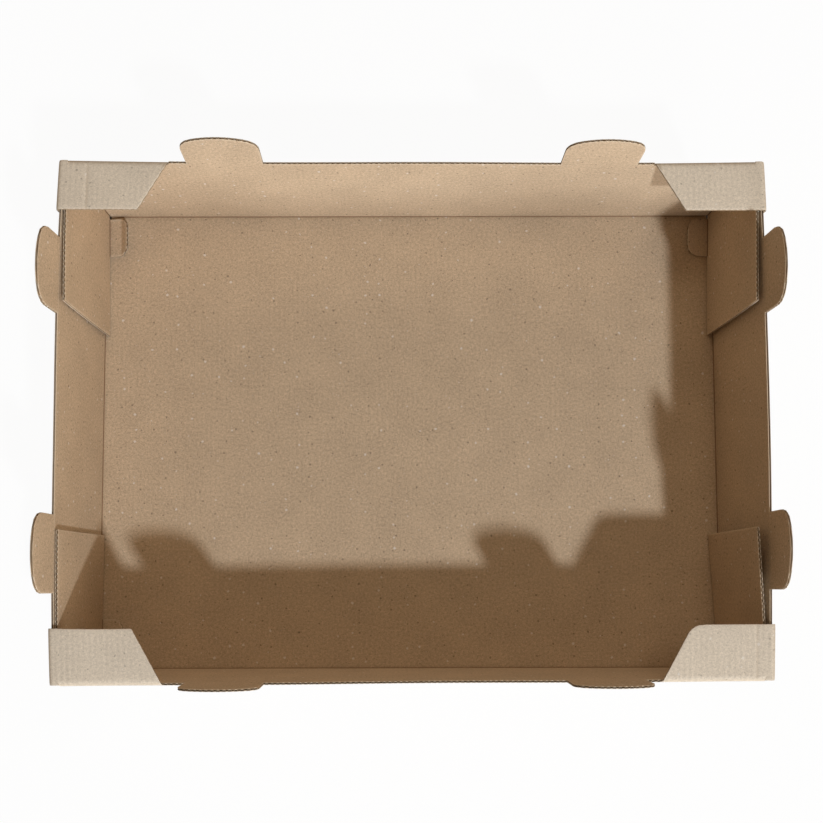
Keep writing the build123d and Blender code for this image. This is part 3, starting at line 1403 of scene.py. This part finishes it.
@dataclass(frozen=True)
class PaperEffects:
    """Node groups that the papers share, each built once, and their values."""

    clouds: tuple[PulpCloud, ...] = (
        PulpCloud(38.0, 4.0, 0.6, 0.5, 0.0),
        PulpCloud(600.0, 3.0, 0.65, 1.3, 0.6),
        PulpCloud(1250.0, 4.0, 0.7, 1.9, 1.0),
    )
    specks: tuple[PulpSpecks, ...] = (
        PulpSpecks(130.0, 0.065, 0.50, "Dark", 0.65),
        PulpSpecks(340.0, 0.100, 0.60, "Dark", 0.38),
        PulpSpecks(115.0, 0.080, 0.72, "Pale", 0.90),
        PulpSpecks(370.0, 0.100, 0.72, "Pale", 0.40),
    )
    speck_softness: float = 0.03
    speck_bend: Triple = (0.0011, 0.0011, 0.0)
    speck_bend_scale: float = 900.0
    ridge_noise: Pair = (55.0, 2.0)
    ridge_range: Pair = (0.2, 0.75)
    scuff_noise: Pair = (260.0, 3.0)
    scuff_range: Pair = (0.25, 0.6)
    scuff_edge: Pair = (0.5, 1.0)
    fold_range: Pair = (0.1, 1.0)
    crest_range: Pair = (0.0, 0.9)
    cut_range: Pair = (0.955, 0.985)
    roughness: float = 0.86
    scuff_roughness: float = 0.1

    def pulp(self) -> Tree:
        """Cloudy grey pulp with sparse dark specks and pale fibres, over the flat sheet.

        Returns:
            The node group.
        """
        inputs = {"Sheet": VECTOR, "Colour": COLOUR, "Dark": COLOUR, "Pale": COLOUR}
        inputs |= {"Cloud": FLOAT, "Specks": FLOAT}
        w = GroupWiring("recycled_pulp", inputs, {"Colour": COLOUR, "Height": FLOAT})
        sheet, cloud, height = w.source["Sheet"], 0.0, 0.0
        for size in self.clouds:
            noise = w.add("TexNoise", {}, Vector=sheet, Scale=size.scale, Detail=size.detail,
                          Roughness=size.roughness).outputs["Fac"]
            cloud = w.math("ADD", cloud, w.math("MULTIPLY", w.math("SUBTRACT", noise, 0.5), size.tone))
            height = w.math("ADD", height, w.math("MULTIPLY", noise, size.relief))
        lightness = w.math("ADD", 1.0, w.math("MULTIPLY", cloud, w.source["Cloud"]))
        colour = w.lit(w.source["Colour"], lightness)
        bent = w.add("TexNoise", {}, Vector=sheet, Scale=self.speck_bend_scale, Detail=1.0).outputs["Color"]
        moved = w.add("VectorMath", {"operation": "MULTIPLY_ADD"}, bent, self.speck_bend, sheet).outputs[0]
        for kind in self.specks:
            cell = w.add("TexVoronoi", {"voronoi_dimensions": "2D"}, Vector=moved, Scale=kind.scale).outputs
            pick = w.add("SeparateColor", {}, Color=cell["Color"]).outputs
            past = w.math("SUBTRACT", cell["Distance"], w.math("MULTIPLY", pick[1], kind.radius))
            spot = w.math("SUBTRACT", 1.0, w.ramp(past, 0.0, self.speck_softness))
            kept = w.math("MULTIPLY", spot, w.math("GREATER_THAN", pick[0], kind.missing))
            amount = w.math("MULTIPLY", w.math("MULTIPLY", kept, kind.strength), w.source["Specks"])
            colour = w.mix(amount, colour, w.source[kind.tint])
        w.feed(w.result["Colour"], colour)
        w.feed(w.result["Height"], height)
        return w.tree

    def washboard(self) -> Tree:
        """The faint ridges that the flutes press into a liner: a cosine across the flat sheet.

        Returns:
            The node group.
        """
        w = GroupWiring("washboard", {"Sheet": VECTOR, "Pitch": FLOAT}, {"Ridge": FLOAT, "Crest": FLOAT})
        across = w.add("SeparateXYZ", {}, w.source["Sheet"]).outputs[0]
        turns = w.math("MULTIPLY", w.math("DIVIDE", across, w.source["Pitch"]), 2 * math.pi)
        crest = w.math("COSINE", turns)
        uneven = w.ramp(w.noise(w.source["Sheet"], *self.ridge_noise), *self.ridge_range)
        w.feed(w.result["Ridge"], w.math("MULTIPLY", crest, uneven))
        w.feed(w.result["Crest"], crest)
        return w.tree

    def wear(self) -> Tree:
        """Pale scuffed fibre along cut edges, cut faces darkened partly as painted shade, and a dark creased
        line in the folds that is partly painted shade.

        A cut face is pale only where a flute's crest is glued to the liner: where Crest nears 1.

        Returns:
            The node group.
        """
        inputs = {"Sheet": VECTOR, "Colour": COLOUR, "Scuffed": COLOUR, "Pressed": COLOUR, "Cut": COLOUR}
        inputs |= {"Crest": FLOAT, "Edge": FLOAT, "Fold": FLOAT}
        w = GroupWiring("cut_and_fold_wear", inputs, {"Colour": COLOUR, "Rough": FLOAT})
        edge = w.add("Attribute", {"attribute_name": EDGE_WEAR}).outputs["Fac"]
        fold = w.add("Attribute", {"attribute_name": FOLD_CREASE_AND_SHADE}).outputs["Fac"]
        patchy = w.ramp(w.noise(w.source["Sheet"], *self.scuff_noise), *self.scuff_range)
        scuffed = w.math("MULTIPLY", w.ramp(edge, *self.scuff_edge), patchy)
        scuffed = w.math("MULTIPLY", scuffed, w.source["Edge"])
        # darkening of the folds: a real crease and painted shade in the fold
        pressed = w.math("MULTIPLY", w.ramp(fold, *self.fold_range), w.source["Fold"])
        colour = w.mix(scuffed, w.source["Colour"], w.source["Scuffed"])
        colour = w.mix(pressed, colour, w.source["Pressed"])
        crest = w.ramp(w.source["Crest"], *self.crest_range)
        # cut faces take the cut colour, on the liners darker than the paper as painted shade of the cut rim,
        # and pale where a crest is glued
        cut_face = w.mix(crest, w.source["Cut"], w.source["Scuffed"])
        w.feed(w.result["Colour"], w.mix(w.ramp(edge, *self.cut_range), colour, cut_face))
        rough = w.math("ADD", self.roughness, w.math("MULTIPLY", scuffed, self.scuff_roughness))
        w.feed(w.result["Rough"], rough)
        return w.tree


@dataclass(frozen=True)
class PaperFinish:
    """One paper's colours, some of which paint shade into its folds and cut faces, and how strongly the
    shared effects show on it.
    """

    name: str
    colour: Triple
    scuffed: Triple
    # colour of the folds' crease line, dark partly as painted shade in the fold
    pressed: Triple
    # colour of cut faces; on the liners darker than the paper, partly as painted shade of the cut rims
    cut: Triple
    glued_crest: float
    cloud: float
    specks: float
    edge: float
    fold: float
    ridge_height: float
    ridge_tone: float
    dark_share: float = 0.28
    pale_share: float = 0.55
    pale_lift: float = 0.42
    shine: float = 0.25
    relief: float = 0.25
    bump_strength: float = 0.35
    bump_height: float = 0.2 * MM

    def material(self, groups: dict[str, Tree], pitch: float) -> Material:
        """Makes the paper's material.

        Args:
            groups: the shared node groups by name.
            pitch: the pitch of the flutes.

        Returns:
            The material.
        """
        material = bpy.data.materials.new(self.name)
        material.use_nodes = True
        w = Wiring(material.node_tree)
        sheet = w.add("UVMap", {"uv_map": SHEET_MAP}).outputs[0]
        dark = tuple(self.dark_share * c for c in self.colour)
        pale = tuple(self.pale_share * c + self.pale_lift for c in self.colour)
        pulp = w.add("Group", {"node_tree": groups["pulp"]}, Sheet=sheet, Colour=(*self.colour, 1.0),
                     Dark=(*dark, 1.0), Pale=(*pale, 1.0), Cloud=self.cloud, Specks=self.specks).outputs
        wash = w.add("Group", {"node_tree": groups["washboard"]}, Sheet=sheet, Pitch=pitch).outputs
        tone = w.math("ADD", 1.0, w.math("MULTIPLY", wash["Ridge"], self.ridge_tone))
        crest = w.math("MULTIPLY", wash["Crest"], self.glued_crest)
        wear = w.add("Group", {"node_tree": groups["wear"]}, Sheet=sheet,
                     Colour=w.lit(pulp["Colour"], tone), Scuffed=(*self.scuffed, 1.0),
                     Pressed=(*self.pressed, 1.0), Cut=(*self.cut, 1.0),
                     Crest=crest, Edge=self.edge, Fold=self.fold).outputs
        height = w.math("ADD", w.math("MULTIPLY", pulp["Height"], self.relief),
                        w.math("MULTIPLY", wash["Ridge"], self.ridge_height))
        bump = w.add("Bump", {}, Height=height, Strength=self.bump_strength, Distance=self.bump_height)
        w.fill(w.tree.nodes["Principled BSDF"], Base_Color=wear["Colour"], Roughness=wear["Rough"],
               Specular_IOR_Level=self.shine, Normal=bump.outputs[0])
        return material


# Each paper's colours: its own, scuffed, the fold colour that paints shade into its creases, and its cut
# faces, darkened on the liners partly as painted shade.
FINISHES = {
    Paper.OUTER_LINER: PaperFinish(
        "outer_liner_grey_kraft", (0.643, 0.570, 0.468), (0.76, 0.68, 0.57), (0.46, 0.36, 0.25),
        cut=(0.42, 0.33, 0.23), glued_crest=-1.0,
        cloud=0.45, specks=0.70, edge=0.65, fold=0.42, ridge_height=0.32, ridge_tone=0.035,
    ),
    Paper.FLUTING: PaperFinish(
        "fluting_brown", (0.310, 0.205, 0.120), (0.52, 0.41, 0.29), (0.16, 0.10, 0.055),
        cut=(0.46, 0.35, 0.23), glued_crest=0.0,
        cloud=0.3, specks=0.3, edge=0.3, fold=0.1, ridge_height=0.0, ridge_tone=0.0,
    ),
    Paper.INNER_LINER: PaperFinish(
        "inner_liner_tan", (0.540, 0.414, 0.285), (0.70, 0.60, 0.46), (0.20, 0.11, 0.055),
        cut=(0.42, 0.31, 0.20), glued_crest=1.0,
        cloud=0.62, specks=1.0, edge=0.70, fold=0.9, ridge_height=0.22, ridge_tone=0.012,
    ),
}


@dataclass(frozen=True)
class CameraPlace:
    """The photograph's viewpoint, in metres and degrees, with pixels of its square frame."""

    at: Triple = (-0.00914, -0.09349, 0.58753)
    tilt: float = 3.69
    roll: float = -0.12
    focal_pixels: float = 917.76
    centre_pixels: Pair = (395.52, 525.0)
    frame_pixels: float = 823.0
    sensor_mm: float = 36.0
    nearest: float = 0.01

    def build(self) -> None:
        """Makes the camera and sets it as the scene's own."""
        data = bpy.data.cameras.new("camera")
        data.sensor_width = self.sensor_mm
        data.lens = self.focal_pixels / self.frame_pixels * self.sensor_mm
        middle = self.frame_pixels / 2
        data.shift_x = (middle - self.centre_pixels[0]) / self.frame_pixels
        data.shift_y = (self.centre_pixels[1] - middle) / self.frame_pixels
        data.clip_start = self.nearest
        camera = linked("camera", data)
        camera.location = self.at
        camera.rotation_euler = (math.radians(self.tilt), 0.0, math.radians(self.roll))
        bpy.context.scene.camera = camera


@dataclass(frozen=True)
class AreaLamp:
    """A soft square lamp that looks at the middle of the tray."""

    name: str
    azimuth: float
    elevation: float
    distance: float
    size: float
    watts: float
    colour: Triple = (1.0, 1.0, 1.0)

    def build(self) -> None:
        """Makes the lamp: azimuth 0 stands at the front, and 90 on the right."""
        turn, rise = math.radians(self.azimuth), math.radians(self.elevation)
        away = np.array([math.sin(turn) * math.cos(rise), -math.cos(turn) * math.cos(rise), math.sin(rise)])
        data = bpy.data.lights.new(self.name, "AREA")
        data.size = self.size
        data.energy = self.watts
        data.color = self.colour
        lamp = linked(self.name, data)
        lamp.location = tuple(away * self.distance)
        lamp.rotation_euler = (math.pi / 2 - rise, 0.0, turn)


LAMPS = (
    AreaLamp("key_lamp", 29.0, 44.7, 3.0, size=0.18, watts=50.0, colour=(0.97, 1.03, 1.10)),
    AreaLamp("front_lamp", 5.0, 13.0, 6.0, size=1.40, watts=195.0),
    AreaLamp("side_lamp", 75.0, 11.0, 3.0, size=0.70, watts=19.5, colour=(1.0, 0.83, 0.64)),
    AreaLamp("top_lamp", 150.0, 75.0, 1.5, size=0.50, watts=2.6, colour=(1.0, 0.84, 0.66)),
    AreaLamp("back_lamp", 185.0, 28.0, 1.5, size=0.80, watts=2.8, colour=(1.0, 0.82, 0.62)),
)


@dataclass(frozen=True)
class Studio:
    """The plain pale floor and the even light of the room."""

    floor_half: float = 3.0
    floor_grey: float = 0.86
    room_strength: float = 0.125
    room_colour: Triple = (1.0, 0.67, 0.38)
    white_share: float = 0.95
    # a patch under the tray without the glow, painted dark as the tray's shadow; it shows through the corner
    # holes and as a thin contact shadow at the foot
    hidden_half: Pair = (197.8 * MM, 147.9 * MM)
    hidden_grey: float = 0.10

    def build(self) -> None:
        """Makes the floor and the world, both white to the camera."""
        mesh = bpy.data.meshes.new("studio_floor")
        h = self.floor_half
        mesh.from_pydata([(-h, -h, 0), (h, -h, 0), (h, h, 0), (-h, h, 0)], [], [(0, 1, 2, 3)])
        floor = linked("studio_floor", mesh)
        mesh.materials.append(self._floor_material())
        self._world()

    def _floor_material(self) -> Material:
        """A matt pale floor, nearly white to the camera, with a soft shadow, and painted dark under the tray
        as its shadow.

        Returns:
            The material.
        """
        material = bpy.data.materials.new("studio_floor")
        material.use_nodes = True
        w = Wiring(material.node_tree)
        place = w.add("SeparateXYZ", {}, w.add("TexCoord", {}).outputs["Object"]).outputs
        beyond = [w.math("GREATER_THAN", w.math("ABSOLUTE", place[axis]), half)
                  for axis, half in enumerate(self.hidden_half)]
        open_floor = w.math("MAXIMUM", *beyond)
        # the patch under the tray gets a dark grey: painted shadow
        greys = [(grey, grey, grey, 1.0) for grey in (self.hidden_grey, self.floor_grey)]
        shader = w.fill(w.tree.nodes["Principled BSDF"], Base_Color=w.mix(open_floor, *greys),
                        Roughness=1.0, Specular_IOR_Level=0.0)
        glow = w.add("Emission", {}, Color=WHITE, Strength=1.0)
        share = w.math("MULTIPLY", w.seen(), self.white_share)
        w.finish("Material Output", w.math("MULTIPLY", share, open_floor), shader, glow)
        return material

    def _world(self) -> None:
        """Even room light, and plain white where the camera looks past the floor."""
        world = bpy.data.worlds.new("room")
        world.use_nodes = True
        bpy.context.scene.world = world
        w = Wiring(world.node_tree)
        colour = (*self.room_colour, 1.0)
        room = w.fill(w.tree.nodes["Background"], Color=colour, Strength=self.room_strength)
        w.finish("World Output", w.seen(), room, w.add("Background", {}, Color=WHITE, Strength=1.0))


def tray_pieces(sizes: TraySizes) -> Iterator[tuple[str, list[Panel]]]:
    """The name and the panels of every piece of the tray.

    Args:
        sizes: the tray's sizes.

    Yields:
        One piece after the other.
    """
    walls = FloorAndLongWalls(sizes)
    yield "floor_and_long_walls", walls.body() + walls.rims()
    for tab in LONG_WALL_TABS:
        yield f"tab_{tab.wall}_wall_{tab.end}", walls.tab(tab)
    for side, side_x in (("left", -1.0), ("right", 1.0)):
        yield f"short_wall_{side}", ShortWall(sizes, side_x).wall()
    for tab in SHORT_WALL_TABS:
        yield f"tab_{tab.wall}_wall_{tab.end}", ShortWall(sizes, tab.side_x).tab(tab)
    for corner in CORNERS:
        yield f"corner_flap_{corner.name}", CornerFlap(sizes, corner).panels()
        ledge = CornerLedge(sizes, corner)
        yield f"corner_ledge_{corner.name}", [ledge.ledge(), ledge.end()]


def main() -> None:
    """Loads the frame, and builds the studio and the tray."""
    logging.basicConfig(level=logging.INFO, format="%(name)s %(message)s")
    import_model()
    bpy.context.scene.view_settings.view_transform = "Standard"
    CameraPlace().build()
    for lamp in LAMPS:
        lamp.build()
    Studio().build()
    sizes, effects = TraySizes(), PaperEffects()
    groups = {"pulp": effects.pulp(), "washboard": effects.washboard(), "wear": effects.wear()}
    finishes = {paper: finish.material(groups, sizes.board.pitch) for paper, finish in FINISHES.items()}
    builder = SheetBuilder(sizes, finishes)
    for name, panels in tray_pieces(sizes):
        piece = builder.build(name, panels)
        LOG.info("%s has %d faces", piece.name, len(piece.data.polygons))


if __name__ == "__main__":
    main()
